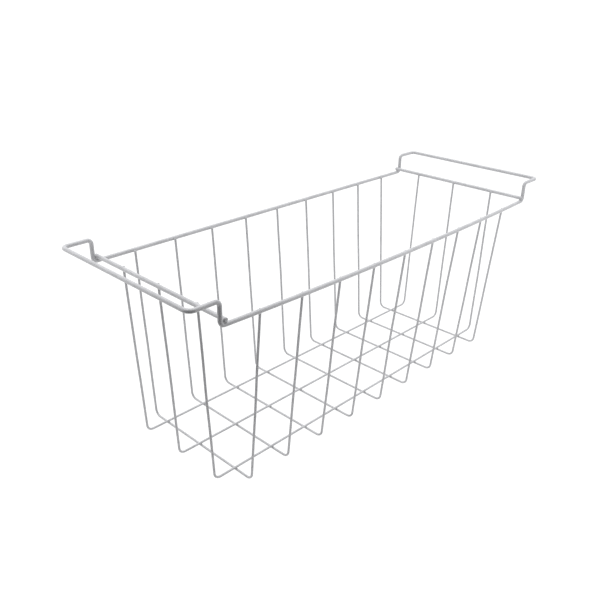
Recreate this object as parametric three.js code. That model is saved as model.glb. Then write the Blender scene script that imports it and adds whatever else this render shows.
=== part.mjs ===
// A hanging wire basket of welded, coated steel wire: a bent rod rim with a hanger bar at each end,
// two cross bars, and a mesh of U-shaped wires bent down from the rim.
// Millimetres, +Z up. The long rails run along X. The origin is on the floor that the basket stands
// on, under the middle of the basket.
import * as THREE from 'three';

// Stock, over the coating: 4.5 mm and 2.5 mm steel wire with 0.15 mm of coating all round
const rodDiameter = 4.8;
const wireDiameter = 2.8;
const weldGap = 0.3; // clearance between two pieces where they are welded together

// Rim
const legSpan = 540; // between the centrelines of the legs at the two ends
const railSpacing = 211; // between the centrelines of the two rails, at the legs
const frontBow = 6.5; // how far the front rail bows outwards at its middle
const railHeight = 212; // rail centreline above the floor
const legRise = 25; // rail centreline up to the hanger bar's centreline
const hangerReach = 33.5; // leg centreline out to the hanger bar's centreline
const rimBend = 5; // centreline radius of the bends at the legs
const hangerBend = 7; // centreline radius of the hanger bars' corners
const seamOffset = 27; // butt weld that closes the rim, along the back rail from its middle

// Cross bars
const crossBarOverhang = 2.5; // each end past the rail centreline

// Mesh
const sideWireCount = 9;
const sideWireMargin = 50; // first and last side wire in from the legs' centrelines
const sideTaper = 14.9; // how far a side wire draws in between its rail and the bottom
const endWireCount = 3;
const endWireMargin = 44; // first and last end wire in from the rails' centrelines
const endTaper = 10.8; // how far an end wire draws in between its cross bar and the bottom
const meshBend = 8; // centreline radius of the mesh wires' corners
const wireEndRise = 0.2; // a mesh wire's end above the centreline of the rod it is welded to

// Facets
const rodSides = 16;
const wireSides = 12;
const quarterBendSteps = 6;
const bowSteps = 10;

// Where the pieces lie
const rodPitch = rodDiameter + weldGap; // centreline to centreline, rod on rod
const rodToWire = (rodDiameter + wireDiameter) / 2 + weldGap; // the same, wire on rod
const legX = legSpan / 2;
const railY = railSpacing / 2;
const hangerX = legX + hangerReach;
const hangerZ = railHeight + legRise;
// A cross bar lies on the rails and against the legs, or in the bend between them when it is wide.
const bendRoom = Math.max(0, rimBend - rodPitch);
const crossBarInset = Math.max(rodPitch, rimBend - bendRoom * Math.SQRT1_2);
const crossBarX = legX - crossBarInset;
const crossBarZ = railHeight + crossBarInset;
// The mesh wires stand inside the rods that hold them, and the end wires lie on the side wires.
const sideWireReach = railY - rodToWire;
const endWireReach = crossBarX - rodToWire;
const sideWireZ = wireDiameter / 2;
const endWireZ = sideWireZ + wireDiameter + weldGap;

// The front rail bows on one arc, which meets the legs' bends at a small slope.
const bowSlope = Math.atan(frontBow / (legX / 2 + rimBend));
const bowRadius = (legX - 2 * rimBend) / Math.tan(bowSlope);

// How far the front rail's centreline lies from Y = 0 at a place along the basket.
function frontRailY(x) {
  const onSlope = railY + (legX - Math.abs(x)) * Math.tan(bowSlope);
  const arcEnd = bowRadius * Math.sin(bowSlope);
  if (frontBow === 0 || Math.abs(x) > arcEnd) {
    return onSlope;
  }
  const sagitta = Math.sqrt(bowRadius ** 2 - x ** 2) - bowRadius * Math.cos(bowSlope);
  return railY + (legX - arcEnd) * Math.tan(bowSlope) + sagitta;
}

// The centreline of a bent wire: straight runs joined by round bends. It is sampled only where the
// wire starts, turns and ends. Each inner corner is [point, bend radius, steps in a quarter turn].
class BentWire extends THREE.Curve {
  constructor(start, corners, end) {
    super();
    this.points = [];
    this.tangents = [];
    const path = [start, ...corners.map(([point]) => point), end];
    const heading = (i) => path[i + 1].clone().sub(path[i]).normalize();
    this.addStation(start, heading(0));
    corners.forEach(([point, radius, steps], i) => {
      this.addBend(point, heading(i), heading(i + 1), radius, steps);
    });
    this.addStation(end, heading(path.length - 2));
  }

  addStation(point, tangent) {
    this.points.push(point.clone());
    this.tangents.push(tangent.clone().normalize());
  }

  addBend(corner, along, away, radius, steps) {
    const angle = along.angleTo(away);
    const inward = away.clone().addScaledVector(along, -along.dot(away)).normalize();
    const centre = corner.clone()
      .addScaledVector(along, -radius * Math.tan(angle / 2))
      .addScaledVector(inward, radius);
    for (let i = 0; i <= steps; i += 1) {
      const turn = angle * i / steps;
      const point = centre.clone()
        .addScaledVector(inward, -radius * Math.cos(turn))
        .addScaledVector(along, radius * Math.sin(turn));
      const tangent = along.clone().multiplyScalar(Math.cos(turn));
      this.addStation(point, tangent.addScaledVector(inward, Math.sin(turn)));
    }
  }

  getPointAt(share, target = new THREE.Vector3()) {
    return target.copy(this.points[Math.round(share * (this.points.length - 1))]);
  }

  getTangentAt(share, target = new THREE.Vector3()) {
    return target.copy(this.tangents[Math.round(share * (this.tangents.length - 1))]);
  }
}

// A round section whose flats lie on the true diameter and face along its two axes.
function roundSection(diameter, sides) {
  const corner = diameter / 2 / Math.cos(Math.PI / sides);
  const corners = [];
  for (let i = 0; i < sides; i += 1) {
    const angle = (i + 0.5) * 2 * Math.PI / sides;
    corners.push(new THREE.Vector2(corner * Math.cos(angle), corner * Math.sin(angle)));
  }
  return new THREE.Shape(corners);
}

function sweep(centreline, diameter, sides) {
  return new THREE.ExtrudeGeometry(roundSection(diameter, sides), {
    steps: centreline.points.length - 1,
    extrudePath: centreline,
  });
}

function coatedSteel(name, colour) {
  return new THREE.MeshStandardMaterial({ name, color: colour, roughness: 0.42, metalness: 0 });
}

const rodMaterial = coatedSteel('coated_rod', 0xdcdcdd);
const wireMaterial = coatedSteel('coated_wire', 0xe2e2e2);

function place(group, name, geometry, material) {
  const mesh = new THREE.Mesh(geometry, material);
  mesh.name = name;
  group.add(mesh);
}

// One rod bent into a closed loop: two rails, four legs and two hanger bars.
function rimFrame() {
  const at = (x, y, z) => new THREE.Vector3(x, y, z);
  const bend = (point) => [point, rimBend, quarterBendSteps];
  const hangerCorner = (point) => [point, hangerBend, quarterBendSteps];
  const bowApex = at(0, -railY - legX * Math.tan(bowSlope), railHeight);
  const bow = frontBow > 0 ? [[bowApex, bowRadius, bowSteps]] : [];
  const corners = [
    bend(at(legX, railY, railHeight)),
    bend(at(legX, railY, hangerZ)),
    hangerCorner(at(hangerX, railY, hangerZ)),
    hangerCorner(at(hangerX, -railY, hangerZ)),
    bend(at(legX, -railY, hangerZ)),
    bend(at(legX, -railY, railHeight)),
    ...bow,
    bend(at(-legX, -railY, railHeight)),
    bend(at(-legX, -railY, hangerZ)),
    hangerCorner(at(-hangerX, -railY, hangerZ)),
    hangerCorner(at(-hangerX, railY, hangerZ)),
    bend(at(-legX, railY, hangerZ)),
    bend(at(-legX, railY, railHeight)),
  ];
  const start = at(seamOffset, railY, railHeight);
  const end = at(seamOffset - weldGap, railY, railHeight);
  return sweep(new BentWire(start, corners, end), rodDiameter, rodSides);
}

// A straight rod across one end of the rim, over both rails.
function crossBar(x) {
  const reach = railY + crossBarOverhang;
  const start = new THREE.Vector3(x, -reach, crossBarZ);
  const end = new THREE.Vector3(x, reach, crossBarZ);
  return sweep(new BentWire(start, [], end), rodDiameter, rodSides);
}

// A U-shaped mesh wire in an upright plane. Its arms lean out from the bottom corners to the two
// rods that hold them, and end a little above those rods' centrelines. toWorld turns a distance
// along the wire's plane and a height into a point.
function meshWire(toWorld, bottomReach, bottomZ, rodReaches, rodZ) {
  const arm = (side, rodReach) => {
    const lean = (rodReach - bottomReach) / (rodZ - bottomZ);
    return toWorld(side * (rodReach + lean * wireEndRise), rodZ + wireEndRise);
  };
  const bend = (side) => [toWorld(side * bottomReach, bottomZ), meshBend, quarterBendSteps];
  const centreline = new BentWire(arm(-1, rodReaches[0]), [bend(-1), bend(1)], arm(1, rodReaches[1]));
  return sweep(centreline, wireDiameter, wireSides);
}

// Down the front, across the bottom and up the back.
function sideWire(x) {
  const toWorld = (y, z) => new THREE.Vector3(x, y, z);
  const rodReaches = [frontRailY(x) - rodToWire, sideWireReach];
  return meshWire(toWorld, sideWireReach - sideTaper, sideWireZ, rodReaches, railHeight);
}

// Down one end, along the bottom and up the other end.
function endWire(y) {
  const toWorld = (x, z) => new THREE.Vector3(x, y, z);
  const rodReaches = [endWireReach, endWireReach];
  return meshWire(toWorld, endWireReach - endTaper, endWireZ, rodReaches, crossBarZ);
}

// Evenly spaced places from -reach to reach.
function spread(count, reach) {
  return Array.from({ length: count }, (_, i) => (2 * i / (count - 1) - 1) * reach);
}

const basket = new THREE.Group();
place(basket, 'rim_frame', rimFrame(), rodMaterial);
place(basket, 'cross_bar_left', crossBar(-crossBarX), rodMaterial);
place(basket, 'cross_bar_right', crossBar(crossBarX), rodMaterial);
spread(sideWireCount, legX - sideWireMargin).forEach((x, i) => {
  place(basket, `side_wire_${i + 1}`, sideWire(x), wireMaterial);
});
spread(endWireCount, railY - endWireMargin).forEach((y, i) => {
  place(basket, `end_wire_${i + 1}`, endWire(y), wireMaterial);
});

export default basket;
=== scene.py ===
import math
import bpy
from mathutils import Matrix, Vector, noise


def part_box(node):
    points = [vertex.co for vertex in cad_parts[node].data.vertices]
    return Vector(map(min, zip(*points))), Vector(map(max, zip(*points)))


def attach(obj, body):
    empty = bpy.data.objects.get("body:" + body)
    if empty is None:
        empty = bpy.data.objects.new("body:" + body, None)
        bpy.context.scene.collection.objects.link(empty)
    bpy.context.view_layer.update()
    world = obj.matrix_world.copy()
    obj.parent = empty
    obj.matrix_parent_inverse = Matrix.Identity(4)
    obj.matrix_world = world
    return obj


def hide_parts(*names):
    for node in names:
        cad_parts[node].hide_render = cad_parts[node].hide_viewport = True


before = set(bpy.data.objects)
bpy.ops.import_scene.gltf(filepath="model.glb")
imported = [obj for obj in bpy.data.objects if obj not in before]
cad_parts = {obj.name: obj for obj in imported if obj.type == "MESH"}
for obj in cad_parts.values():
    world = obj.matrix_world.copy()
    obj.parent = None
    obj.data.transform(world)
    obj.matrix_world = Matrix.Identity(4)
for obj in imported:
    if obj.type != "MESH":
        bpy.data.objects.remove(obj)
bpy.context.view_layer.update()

# A hanging basket of coated steel wire: a bent rod rim, two cross bars and a mesh of U-shaped wires.
# Everything is in metres, in the frame's own axes: the long rails run along X and the floor is Z = 0.
mm = 0.001
weldGap = 0.3 * mm  # between two pieces that are welded together, filled here by the welds


# Sizes read from the frame. The rods' and wires' centrelines follow from how the pieces lie together.

def nodeCentre(node):
    low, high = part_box(node)
    return (low + high) / 2


def nodeSize(node):
    low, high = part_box(node)
    return high - low


rodRadius = nodeSize("cross_bar_left").z / 2
wireRadius = nodeSize("side_wire_5").x / 2
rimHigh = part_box("rim_frame")[1]
crossBarX = nodeCentre("cross_bar_right").x
crossBarZ = nodeCentre("cross_bar_right").z
crossBarReach = nodeSize("cross_bar_right").y / 2
rodPitch = 2 * rodRadius + weldGap
rodToWire = rodRadius + wireRadius + weldGap
legX = crossBarX + rodPitch  # the cross bar lies against the legs and on the rails
railZ = crossBarZ - rodPitch
railY = rimHigh.y - rodRadius
hangerX = rimHigh.x - rodRadius
hangerZ = rimHigh.z - rodRadius
sideWires = sorted(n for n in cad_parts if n.startswith("side_wire_"))
endWires = sorted(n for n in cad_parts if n.startswith("end_wire_"))
print("frame read:", len(sideWires), "side wires and", len(endWires), "end wires")


# Shader helpers

def linearColour(code):  # an sRGB hex code as linear RGBA
    parts = [int(code[i:i + 2], 16) / 255 for i in (1, 3, 5)]
    return [c / 12.92 if c <= 0.04045 else ((c + 0.055) / 1.055) ** 2.4 for c in parts] + [1.0]


# A setting goes to the node's property of that name, or else to its socket. A link joins an output
# of another node to a socket.
def addNode(tree, kind, settings=None, links=None):
    node = tree.nodes.new(kind)
    for key, value in (settings or {}).items():
        if isinstance(key, str) and hasattr(node, key):
            setattr(node, key, value)
        else:
            node.inputs[key].default_value = value
    for key, source in (links or {}).items():
        tree.links.new(source, node.inputs[key])
    return node


# Polyethylene powder coat, baked onto drawn steel: light neutral grey, satin, a little uneven where
# the melt flowed. The eye gets a soft broad highlight along each wire with a faint orange peel in it.
# A mix node's colours are its sockets 6 and 7, and the mixed colour is its output 2.
def coatedSteel(name, look):
    material = bpy.data.materials.new(name)
    material.use_nodes = True
    tree = material.node_tree
    tree.nodes.clear()
    place = addNode(tree, "ShaderNodeTexCoord").outputs["Object"]
    cloud = addNode(tree, "ShaderNodeTexNoise",
                    {"Scale": 1 / look["cloudSize"], "Detail": 3.0, "Roughness": 0.5},
                    {"Vector": place})
    fleck = addNode(tree, "ShaderNodeTexNoise",
                    {"Scale": 1 / look["fleckSize"], "Detail": 1.0}, {"Vector": place})
    peel = addNode(tree, "ShaderNodeTexNoise",
                   {"Scale": 1 / look["peelSize"], "Detail": 2.0, "Roughness": 0.6},
                   {"Vector": place})

    # pale clouds in the coat
    low, high = look["cloudRange"]
    cloudShare = addNode(tree, "ShaderNodeMapRange", {"From Min": low, "From Max": high},
                         {"Value": cloud.outputs["Fac"]})
    base = addNode(tree, "ShaderNodeMix",
                   {"data_type": "RGBA", 6: linearColour(look["colour"]),
                    7: linearColour(look["paleColour"])}, {0: cloudShare.outputs["Result"]})
    # a few darker flecks
    low, high = look["fleckRange"]
    fleckShare = addNode(tree, "ShaderNodeMapRange",
                         {"From Min": low, "From Max": high, "To Max": look["fleckStrength"]},
                         {"Value": fleck.outputs["Fac"]})
    flecked = addNode(tree, "ShaderNodeMix",
                      {"data_type": "RGBA", 7: linearColour(look["fleckColour"])},
                      {0: fleckShare.outputs["Result"], 6: base.outputs[2]})
    # the coat is thinnest at a sheared end, where the steel shows through it
    thin = addNode(tree, "ShaderNodeAttribute", {"attribute_name": "thinCoat"})
    thinShare = addNode(tree, "ShaderNodeMath", {"operation": "MULTIPLY", 1: look["thinStrength"]},
                        {0: thin.outputs["Fac"]})
    worn = addNode(tree, "ShaderNodeMix",
                   {"data_type": "RGBA", 7: linearColour(look["thinColour"])},
                   {0: thinShare.outputs["Value"], 6: flecked.outputs[2]})

    # the pale clouds are a little less glossy, and the peel dimples the highlight
    low, high = look["glossRange"]
    gloss = addNode(tree, "ShaderNodeMapRange",
                    {"From Min": low, "From Max": high,
                     "To Min": look["roughness"] - look["roughnessSwing"],
                     "To Max": look["roughness"] + look["roughnessSwing"]},
                    {"Value": cloud.outputs["Fac"]})
    bump = addNode(tree, "ShaderNodeBump",
                   {"Strength": look["peelStrength"], "Distance": look["peelDepth"]},
                   {"Height": peel.outputs["Fac"]})
    shader = addNode(tree, "ShaderNodeBsdfPrincipled", {"Metallic": 0.0, "IOR": look["ior"]},
                     {"Base Color": worn.outputs[2], "Roughness": gloss.outputs["Result"],
                      "Normal": bump.outputs["Normal"]})
    addNode(tree, "ShaderNodeOutputMaterial", None, {"Surface": shader.outputs["BSDF"]})
    return material


rodLook = {
    "colour": "#b4b4b6", "paleColour": "#bebec0",
    "cloudSize": 14 * mm,  # how far the melt ran before it set
    "cloudRange": (0.35, 0.65), "glossRange": (0.3, 0.7),  # part of the noise that each one spans
    "fleckColour": "#9fa0a2", "fleckStrength": 0.35,
    "fleckSize": 1.1 * mm,  # real pinholes are about 0.3 mm, drawn coarser to show
    "fleckRange": (0.62, 0.74),
    "thinColour": "#8b8c8e", "thinStrength": 0.35,
    "roughness": 0.36, "roughnessSwing": 0.07, "ior": 1.5,
    "peelSize": 1.6 * mm,  # real peel is about 1 mm, drawn coarser to show
    "peelDepth": 0.03 * mm, "peelStrength": 0.5,
}
wireLook = dict(rodLook, colour="#aeaeb0", paleColour="#b8b8ba", cloudSize=11 * mm,
                roughness=0.4, peelSize=1.3 * mm)
weldLook = dict(rodLook, colour="#b6b6b8", paleColour="#c0c0c1", cloudSize=3 * mm,
                roughness=0.3, thinStrength=0.0)  # the melt pools and sets glossier in a crevice
rodCoat = coatedSteel("bakedPowderCoatOnRod", rodLook)
wireCoat = coatedSteel("bakedPowderCoatOnWire", wireLook)
weldCoat = coatedSteel("pooledPowderCoatOverWeld", weldLook)
print("materials made")


# Routes and swept wires

sweep = {
    "rodSides": 28, "wireSides": 20,
    "ringGap": 4 * mm,  # between rings on a straight run
    "bendSteps": 14,  # rings in a quarter turn
    "endRound": 0.65 * mm,  # the melt draws back into a round edge at a sheared end
    "endRings": 4,
    "endClear": 1.2,  # no other ring stands within this many endRounds of an end
    "endThin": 1.0, "edgeThin": 0.5,  # how thin the coat is on the round edge and just behind it
    "coatSwing": 0.05 * mm,  # how much thinner the coat gets in places
    "coatWave": 9 * mm,  # how far apart those places are
}


# Stations (point, direction) along straight runs joined by round bends. An inner corner is
# (point, bend radius).
def wireRoute(start, corners, end):
    path = [start] + [point for point, radius in corners] + [end]
    headings = [(b - a).normalized() for a, b in zip(path, path[1:])]
    stations = [(start.copy(), headings[0])]

    def runTo(point, heading):
        first = stations[-1][0].copy()
        steps = max(1, round((point - first).length / sweep["ringGap"]))
        for i in range(1, steps + 1):
            stations.append((first.lerp(point, i / steps), heading))

    for i, (corner, radius) in enumerate(corners):
        along, away = headings[i], headings[i + 1]
        angle = along.angle(away)
        inward = (away - along * along.dot(away)).normalized()
        reach = radius * math.tan(angle / 2)
        centre = corner - along * reach + inward * radius
        runTo(corner - along * reach, along)
        turnSteps = sweep["bendSteps"] * angle / (math.pi / 2)
        lengthSteps = radius * angle / sweep["ringGap"]
        steps = max(round(turnSteps), round(lengthSteps), 1)
        for k in range(1, steps + 1):
            turn = angle * k / steps
            point = centre - inward * radius * math.cos(turn) + along * radius * math.sin(turn)
            stations.append((point, along * math.cos(turn) + inward * math.sin(turn)))
    runTo(end, headings[-1])
    return stations


# Draws both ends of a route in to a round edge. A ring is (point, direction, inset, thinness), with
# the inset taken off the radius.
def withEnds(stations):
    r, count = sweep["endRound"], sweep["endRings"]
    clear = sweep["endClear"] * r
    start, startWay = stations[0]
    end, endWay = stations[-1]
    head = [(start + startWay * r * (1 - math.sin(a)), startWay, r * (1 - math.cos(a)), sweep["endThin"])
            for a in (math.pi / 2 * (1 - i / count) for i in range(count))]
    tail = [(end - endWay * r * (1 - math.sin(a)), endWay, r * (1 - math.cos(a)), sweep["endThin"])
            for a in (math.pi / 2 * (i + 1) / count for i in range(count))]
    inner = [(point, way, 0.0, 0.0) for point, way in stations
             if (point - start).length > clear and (point - end).length > clear]
    first = [(start + startWay * r, startWay, 0.0, sweep["edgeThin"])]
    last = [(end - endWay * r, endWay, 0.0, sweep["edgeThin"])]
    return head + first + inner + last + tail


# thin says for each point how thin the coat is, and nodes are the frame's nodes that the piece replaces
def newPiece(name, verts, faces, thin, material, nodes=()):
    mesh = bpy.data.meshes.new(name)
    mesh.from_pydata(verts, [], faces)
    mesh.validate()
    layer = mesh.attributes.new("thinCoat", "FLOAT", "POINT")
    layer.data.foreach_set("value", thin)
    mesh.polygons.foreach_set("use_smooth", [True] * len(mesh.polygons))
    mesh.update()
    piece = bpy.data.objects.new(name, mesh)
    bpy.context.scene.collection.objects.link(piece)
    piece.data.materials.append(material)
    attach(piece, "root")
    if nodes:
        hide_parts(*nodes)


# Sweeps a round section along the stations, with the coat's slow swell and rounded ends
def sweptWire(name, stations, radius, sides, material, nodes=()):
    rings = withEnds(stations)
    way = rings[0][1]
    side = way.orthogonal().normalized()
    verts, faces, thin = [], [], []
    for point, newWay, inset, thinHere in rings:
        side = way.rotation_difference(newWay) @ side
        side = (side - newWay * side.dot(newWay)).normalized()
        way = newWay
        across = way.cross(side)
        for i in range(sides):
            angle = 2 * math.pi * i / sides
            out = side * math.cos(angle) + across * math.sin(angle)
            skin = point + out * radius
            swell = 0.5 + 0.5 * noise.noise(skin / sweep["coatWave"])
            verts.append(point + out * (radius - inset - sweep["coatSwing"] * swell))
            thin.append(thinHere)
    for j in range(len(rings) - 1):
        for i in range(sides):
            k = (i + 1) % sides
            faces.append((j * sides + i, j * sides + k, (j + 1) * sides + k, (j + 1) * sides + i))
    first, last = len(verts), len(verts) + 1
    verts += [rings[0][0], rings[-1][0]]
    thin += [sweep["endThin"]] * 2
    base = (len(rings) - 1) * sides
    for i in range(sides):
        k = (i + 1) % sides
        faces.append((first, k, i))
        faces.append((last, base + i, base + k))
    newPiece(name, verts, faces, thin, material, nodes)


# Rim: one rod bent into a closed loop, stepped up and outwards at each end into a hanger bar

rim = {
    "legBend": 5 * mm, "hangerBend": 7 * mm,  # centreline radii
    "frontBow": 6.5 * mm,  # how far the front rail bows outwards at its middle
    "seamX": 27 * mm,  # where the butt weld closes the loop, on the back rail
}
bowSlope = math.atan(rim["frontBow"] / (legX / 2 + rim["legBend"]))
bowRadius = (legX - 2 * rim["legBend"]) / math.tan(bowSlope)


def frontRailY(x):  # the front rail's centreline, as a distance from Y = 0
    arcEnd = bowRadius * math.sin(bowSlope)
    onSlope = railY + (legX - abs(x)) * math.tan(bowSlope)
    if abs(x) > arcEnd:
        return onSlope
    sagitta = math.sqrt(bowRadius ** 2 - x ** 2) - bowRadius * math.cos(bowSlope)
    return railY + (legX - arcEnd) * math.tan(bowSlope) + sagitta


def makeRim():
    leg, hanger = rim["legBend"], rim["hangerBend"]
    corners = [
        (Vector((legX, railY, railZ)), leg), (Vector((legX, railY, hangerZ)), leg),
        (Vector((hangerX, railY, hangerZ)), hanger), (Vector((hangerX, -railY, hangerZ)), hanger),
        (Vector((legX, -railY, hangerZ)), leg), (Vector((legX, -railY, railZ)), leg),
        (Vector((0, -railY - legX * math.tan(bowSlope), railZ)), bowRadius),
        (Vector((-legX, -railY, railZ)), leg), (Vector((-legX, -railY, hangerZ)), leg),
        (Vector((-hangerX, -railY, hangerZ)), hanger), (Vector((-hangerX, railY, hangerZ)), hanger),
        (Vector((-legX, railY, hangerZ)), leg), (Vector((-legX, railY, railZ)), leg),
    ]
    start = Vector((rim["seamX"], railY, railZ))
    end = Vector((rim["seamX"] - weldGap, railY, railZ))
    stations = wireRoute(start, corners, end)
    sweptWire("rimRod", stations, rodRadius, sweep["rodSides"], rodCoat, ["rim_frame"])


makeRim()
print("rim made")


# Cross bars: straight rods over the rails, as long as the frame's own

def makeCrossBar(name, node):
    x = nodeCentre(node).x
    front, back = Vector((x, -crossBarReach, crossBarZ)), Vector((x, crossBarReach, crossBarZ))
    stations = wireRoute(front, [], back)
    sweptWire(name, stations, rodRadius, sweep["rodSides"], rodCoat, [node])


makeCrossBar("leftCrossBar", "cross_bar_left")
makeCrossBar("rightCrossBar", "cross_bar_right")
print("cross bars made")


# Mesh wires

meshWires = {
    "bend": 8 * mm,  # centreline radius
    "sideTaper": 14.9 * mm,  # how far a side wire draws in between its rail and the bottom
    "endTaper": 10.8 * mm,  # the same for an end wire, from its cross bar
    "endRise": 0.2 * mm,  # a wire's end above the rod's centreline
    "drift": 0.7 * mm,  # straightened wire keeps a little of its coil's curve between two welds
    "driftWave": 90 * mm,  # length of that curve
    "wireStep": 7.3,  # keeps one wire's drift apart from the next one's
    "halfPlaces": (3.1, 9.7),  # the same for the two halves of the basket, across its diagonal
    "yStep": 5.6,  # the same for the drift along X and along Y
}
sideWireZ = wireRadius
endWireZ = sideWireZ + 2 * wireRadius + weldGap


# Moves the long straight arms sideways a little, and leaves the ends, bends and bottom where they
# are: the drift starts above the bends and stops below the rods.
def drifted(stations, bottomZ, rodZ, number):
    lowZ = bottomZ + 2 * meshWires["bend"]
    highZ = rodZ - 4 * wireRadius
    backHalf, frontHalf = meshWires["halfPlaces"]
    yStep = Vector((0, 0, meshWires["yStep"]))
    moved = []
    for point, way in stations:
        share = min(max((point.z - lowZ) / (highZ - lowZ), 0.0), 1.0)
        window = math.sin(math.pi * share) ** 2
        half = backHalf if point.x + point.y > 0 else frontHalf
        spot = Vector((number * meshWires["wireStep"], point.z / meshWires["driftWave"], half))
        swayX = noise.noise(spot) * meshWires["drift"] * window
        swayY = noise.noise(spot + yStep) * meshWires["drift"] * window
        moved.append((point + Vector((swayX, swayY, 0.0)), way))
    return moved


# A U in an upright plane. toWorld turns a distance along that plane and a height into a point.
def uRoute(toWorld, bottomReach, bottomZ, rodReaches, rodZ):
    def armEnd(side, rodReach):
        lean = (rodReach - bottomReach) / (rodZ - bottomZ)
        return toWorld(side * (rodReach + lean * meshWires["endRise"]), rodZ + meshWires["endRise"])

    corners = [(toWorld(-bottomReach, bottomZ), meshWires["bend"]),
               (toWorld(bottomReach, bottomZ), meshWires["bend"])]
    return wireRoute(armEnd(-1, rodReaches[0]), corners, armEnd(1, rodReaches[1]))


def makeSideWire(node, number):
    x = nodeCentre(node).x
    backReach = railY - rodToWire
    route = uRoute(lambda y, z: Vector((x, y, z)), backReach - meshWires["sideTaper"], sideWireZ,
                   [frontRailY(x) - rodToWire, backReach], railZ)
    sweptWire("sideWire" + node[-1], drifted(route, sideWireZ, railZ, number), wireRadius,
              sweep["wireSides"], wireCoat, [node])


def makeEndWire(node, number):
    y = nodeCentre(node).y
    rodReach = crossBarX - rodToWire
    route = uRoute(lambda x, z: Vector((x, y, z)), rodReach - meshWires["endTaper"], endWireZ,
                   [rodReach, rodReach], crossBarZ)
    sweptWire("endWire" + node[-1], drifted(route, endWireZ, crossBarZ, number), wireRadius,
              sweep["wireSides"], wireCoat, [node])


for number, node in enumerate(sideWires, 1):
    makeSideWire(node, number)
for number, node in enumerate(endWires, 21):  # numbers that no side wire has
    makeEndWire(node, number)
print("mesh wires made")


# Welds: where two round wires cross, the metal and the coat run into the crevice between them

weld = {
    "sides": 24, "rows": 6,
    "fill": 0.95 * mm,  # how wide the crevice is where the fillet stops
    "reachStep": 0.02 * mm,  # how closely that place is looked for
    "maxReach": 1.5,  # a fillet reaches at most this many radii of its first wire
    "hollow": 0.22 * mm,  # how far the fillet's face curves in
    "maxHollow": 0.3,  # the same at most, as a share of the fillet's reach
    "sink": 0.12 * mm,  # how deep its edges sit in the wires
    "coreSink": 3,  # how many sinks deep the middle of each side sits
    "endRoom": 0.15 * mm,  # how far the fillet follows a mesh wire up past the rod's centreline
    "cornerSteps": 6,  # fillets that run into one along a cross bar's weld
}


# Adds one closed fillet between two crossing wires. Each wire is (a point on it, direction, radius).
# With endRoom, the fillet stops that far along the second wire, because the wire ends there.
def addFillet(verts, faces, first, second, endRoom=None):
    pointA, wayA, radiusA = first
    pointB, wayB, radiusB = second
    wayA, wayB = wayA.normalized(), wayB.normalized()
    normal = wayA.cross(wayB).normalized()
    if normal.dot(pointB - pointA) < 0:
        normal.negate()
    between = normal.dot(pointB - pointA)
    # where the two centrelines pass each other
    offset = pointB - pointA - normal * between
    acrossB = normal.cross(wayB)
    crossing = pointA + wayA * (offset.dot(acrossB) / wayA.dot(acrossB))
    acrossA = normal.cross(wayA)

    def faceA(flat):
        away = flat.dot(acrossA)
        return math.sqrt(max(radiusA ** 2 - away ** 2, 0.0))

    def faceB(flat):
        away = flat.dot(acrossB)
        return between - math.sqrt(max(radiusB ** 2 - away ** 2, 0.0))

    sides, rows, start = weld["sides"], weld["rows"], len(verts)
    maxReach = weld["maxReach"] * radiusA
    for i in range(sides):
        angle = 2 * math.pi * i / sides
        out = wayA * math.cos(angle) + acrossA * math.sin(angle)
        reach = 0.0
        while faceB(out * reach) - faceA(out * reach) < weld["fill"] and reach < maxReach:
            reach += weld["reachStep"]
        if endRoom is not None and out.dot(wayB) > 0:
            reach = min(reach, endRoom / out.dot(wayB))
        low = faceA(out * reach) - weld["sink"]
        high = faceB(out * reach) + weld["sink"]
        for j in range(rows):
            share = j / (rows - 1)
            waist = min(weld["hollow"], weld["maxHollow"] * reach) * math.sin(math.pi * share)
            verts.append(crossing + out * (reach - waist) + normal * (low + (high - low) * share))
    for i in range(sides):
        k = (i + 1) % sides
        for j in range(rows - 1):
            a, b = start + i * rows + j, start + k * rows + j
            faces.append((a, b, b + 1, a + 1))
    bottom, top = len(verts), len(verts) + 1
    coreSink = weld["coreSink"] * weld["sink"]
    verts.append(crossing + normal * (radiusA - coreSink))
    verts.append(crossing + normal * (between - radiusB + coreSink))
    for i in range(sides):
        k = (i + 1) % sides
        faces.append((bottom, start + k * rows, start + i * rows))
        faces.append((top, start + i * rows + rows - 1, start + k * rows + rows - 1))


def weldPiece(name, pairs, endRoom=None):
    verts, faces = [], []
    for first, second in pairs:
        addFillet(verts, faces, first, second, endRoom)
    newPiece(name, verts, faces, [0.0] * len(verts), weldCoat)


xAxis, yAxis, zAxis = Vector((1, 0, 0)), Vector((0, 1, 0)), Vector((0, 0, 1))
sideXs = [nodeCentre(node).x for node in sideWires]
endYs = [nodeCentre(node).y for node in endWires]


def makeRailWelds():
    backReach = railY - rodToWire
    rise = railZ - sideWireZ
    backLean = meshWires["sideTaper"] / rise
    backPairs, frontPairs = [], []
    for x in sideXs:
        rod = (Vector((x, railY, railZ)), xAxis, rodRadius)
        wire = (Vector((x, backReach, railZ)), Vector((0, backLean, 1)), wireRadius)
        backPairs.append((rod, wire))
        reach = frontRailY(x)
        frontLean = (reach - rodToWire - backReach + meshWires["sideTaper"]) / rise
        slope = (frontRailY(x + mm) - frontRailY(x - mm)) / (2 * mm)
        rod = (Vector((x, -reach, railZ)), Vector((1, -slope, 0)), rodRadius)
        wire = (Vector((x, -reach + rodToWire, railZ)), Vector((0, -frontLean, 1)), wireRadius)
        frontPairs.append((rod, wire))
    weldPiece("backRailWelds", backPairs, weld["endRoom"])
    weldPiece("frontRailWelds", frontPairs, weld["endRoom"])


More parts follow.
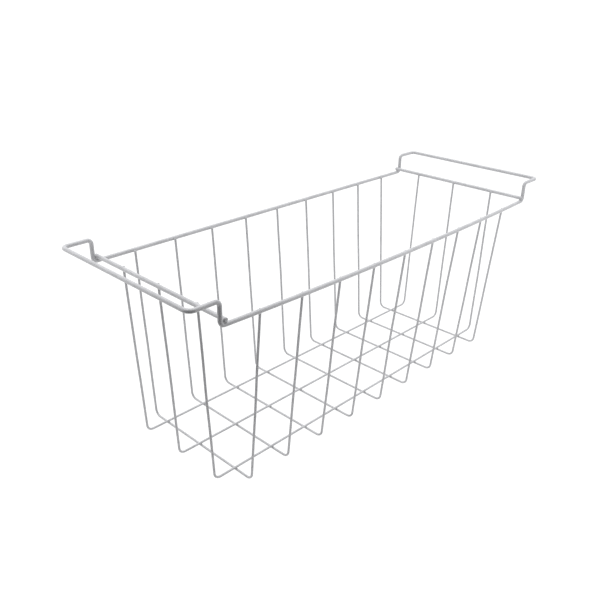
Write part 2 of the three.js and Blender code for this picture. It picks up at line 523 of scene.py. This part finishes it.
def makeBarWelds(name, side):
    lean = meshWires["endTaper"] / (crossBarZ - endWireZ)
    pairs = []
    for y in endYs:
        rod = (Vector((side * crossBarX, y, crossBarZ)), yAxis, rodRadius)
        wire = (Vector((side * (crossBarX - rodToWire), y, crossBarZ)),
                Vector((side * lean, 0, 1)), wireRadius)
        pairs.append((rod, wire))
    weldPiece(name, pairs, weld["endRoom"])


def makeBottomWelds():
    pairs = []
    for x in sideXs:
        for y in endYs:
            under = (Vector((x, y, sideWireZ)), yAxis, wireRadius)
            over = (Vector((x, y, endWireZ)), xAxis, wireRadius)
            pairs.append((under, over))
    weldPiece("bottomWelds", pairs)


# Each cross bar lies in the bend between a rail and a leg, so its weld follows that quarter turn
def makeCrossBarWelds():
    bend = rim["legBend"]
    pairs = []
    for sideX in (-1, 1):
        for sideY in (-1, 1):
            bar = (Vector((sideX * crossBarX, sideY * railY, crossBarZ)), yAxis, rodRadius)
            bendCentre = Vector((sideX * (legX - bend), sideY * railY, railZ + bend))
            for i in range(weld["cornerSteps"] + 1):
                turn = math.pi / 2 * i / weld["cornerSteps"]
                out = Vector((sideX * math.sin(turn), 0, -math.cos(turn)))
                way = Vector((sideX * math.cos(turn), 0, math.sin(turn)))
                pairs.append(((bendCentre + out * bend, way, rodRadius), bar))
    weldPiece("crossBarWelds", pairs)


# The butt weld that closes the rim: a low collar of upset metal under the coat
seam = {
    "height": 0.3 * mm, "halfWidth": 1.6 * mm,
    "crown": 1.5,  # 1 is a half round, and more is a narrower ridge
    "lump": (0.8, 0.4),  # middle and swing of the height round the rod, as shares of it
    "lumpScale": 1.7,
    "trim": 0.75,  # share ground off on the basket's outer face
    "edgeSink": 0.05 * mm, "sink": 0.2 * mm,  # how deep its edges and its inside sit in the rod
    "sides": 28, "rows": 8,
}


def makeSeamWeld():
    centre = Vector((rim["seamX"] - weldGap / 2, railY, railZ))
    verts, faces = [], []
    sides, rows = seam["sides"], seam["rows"]
    middle, swing = seam["lump"]
    for i in range(sides):
        angle = 2 * math.pi * i / sides
        out = yAxis * math.cos(angle) + zAxis * math.sin(angle)
        lump = middle + swing * noise.noise(out * seam["lumpScale"])
        lump *= 1 - seam["trim"] * max(out.y, 0.0)
        for j in range(rows):
            turn = math.pi * j / (rows - 1)
            rise = seam["height"] * lump * math.sin(turn) ** seam["crown"]
            along = xAxis * seam["halfWidth"] * math.cos(turn)
            verts.append(centre - along + out * (rodRadius - seam["edgeSink"] + rise))
        verts.append(centre + out * (rodRadius - seam["sink"]))
    step = rows + 1
    for i in range(sides):
        k = (i + 1) % sides
        for j in range(step):
            a, b = i * step + j, i * step + (j + 1) % step
            c, d = k * step + (j + 1) % step, k * step + j
            faces.append((a, b, c, d))
    newPiece("rimSeamWeld", verts, faces, [0.0] * len(verts), weldCoat)


makeRailWelds()
makeBarWelds("leftBarWelds", -1)
makeBarWelds("rightBarWelds", 1)
makeBottomWelds()
makeCrossBarWelds()
makeSeamWeld()
print("welds made")


# Floor, lights and camera

camera = {
    "place": Vector((-0.6223, -0.5431, 0.5013)),
    "heading": 46.03,  # degrees from +Y towards +X
    "downTilt": 25.22, "roll": 0.79,
    "lens": 42.5, "sensor": 36.0,
    "farClip": 200.0,
}
floor = {
    "size": 60.0, "drop": 0.2 * mm,  # below the basket's own floor, so that nothing touches it
    "colour": "#5a5a5a", "roughness": 0.9, "specular": 0.1,
    "glowColour": "#ffffff", "glow": 1.0,
}
lights = {
    "world": 0.9, "worldColour": "#f7f8fa",
    "keyStrength": 2.1, "keyAngle": 50,  # a large overhead softbox
    "keyTilt": (-14, 9),  # degrees about X and Y
}
darkCard = {
    "colour": "#101010", "roughness": 1.0, "width": 0.4, "height": 0.4,
    "ahead": 0.4, "left": 0.05,  # of the camera, on the floor
}


# Opal acrylic lit from below: it stays white under the wires and softens their shadows away
def makeFloor():
    half = floor["size"] / 2
    mesh = bpy.data.meshes.new("studioFloor")
    corners = [(-half, -half), (half, -half), (half, half), (-half, half)]
    mesh.from_pydata([(x, y, -floor["drop"]) for x, y in corners], [], [(0, 1, 2, 3)])
    plane = bpy.data.objects.new("studioFloor", mesh)
    bpy.context.scene.collection.objects.link(plane)
    acrylic = bpy.data.materials.new("litOpalAcrylic")
    acrylic.use_nodes = True
    shader = acrylic.node_tree.nodes["Principled BSDF"]
    shader.inputs["Base Color"].default_value = linearColour(floor["colour"])
    shader.inputs["Roughness"].default_value = floor["roughness"]
    shader.inputs["Specular IOR Level"].default_value = floor["specular"]
    shader.inputs["Emission Color"].default_value = linearColour(floor["glowColour"])
    shader.inputs["Emission Strength"].default_value = floor["glow"]
    plane.data.materials.append(acrylic)


def makeLights():
    world = bpy.data.worlds.new("softStudio")
    world.use_nodes = True
    background = world.node_tree.nodes["Background"]
    background.inputs["Color"].default_value = linearColour(lights["worldColour"])
    background.inputs["Strength"].default_value = lights["world"]
    bpy.context.scene.world = world
    key = bpy.data.lights.new("overheadSoftbox", "SUN")
    key.energy = lights["keyStrength"]
    key.angle = math.radians(lights["keyAngle"])
    keyObject = bpy.data.objects.new("overheadSoftbox", key)
    keyObject.rotation_euler = [math.radians(a) for a in lights["keyTilt"]] + [0.0]
    bpy.context.scene.collection.objects.link(keyObject)


# Black felt on a low card before the basket's nearest corner: it gives the upright wires there a
# darker face, and isn't seen itself.
def makeDarkCard():
    half, tall = darkCard["width"] / 2, darkCard["height"]
    mesh = bpy.data.meshes.new("darkCard")
    corners = [(-half, 0, 0), (half, 0, 0), (half, 0, tall), (-half, 0, tall)]
    mesh.from_pydata(corners, [], [(0, 1, 2, 3)])
    card = bpy.data.objects.new("darkCard", mesh)
    heading = math.radians(camera["heading"])
    ahead = Vector((math.sin(heading), math.cos(heading), 0)) * darkCard["ahead"]
    left = Vector((-math.cos(heading), math.sin(heading), 0)) * darkCard["left"]
    card.location = Vector((camera["place"].x, camera["place"].y, 0)) + ahead + left
    card.rotation_euler = (0, 0, -heading)
    card.visible_camera = False
    bpy.context.scene.collection.objects.link(card)
    felt = bpy.data.materials.new("blackFelt")
    felt.use_nodes = True
    shader = felt.node_tree.nodes["Principled BSDF"]
    shader.inputs["Base Color"].default_value = linearColour(darkCard["colour"])
    shader.inputs["Roughness"].default_value = darkCard["roughness"]
    card.data.materials.append(felt)


def makeCamera():
    data = bpy.data.cameras.new("productCamera")
    data.lens = camera["lens"]
    data.sensor_width = camera["sensor"]
    data.clip_end = camera["farClip"]
    view = bpy.data.objects.new("productCamera", data)
    turn = (Matrix.Rotation(-math.radians(camera["heading"]), 4, "Z")
            @ Matrix.Rotation(math.radians(90 - camera["downTilt"]), 4, "X")
            @ Matrix.Rotation(math.radians(camera["roll"]), 4, "Z"))
    view.matrix_world = Matrix.Translation(camera["place"]) @ turn
    bpy.context.scene.collection.objects.link(view)
    bpy.context.scene.camera = view


makeFloor()
makeLights()
makeDarkCard()
makeCamera()
bpy.context.scene.view_settings.view_transform = "Standard"  # plain colours, with no film curve
print("studio made")
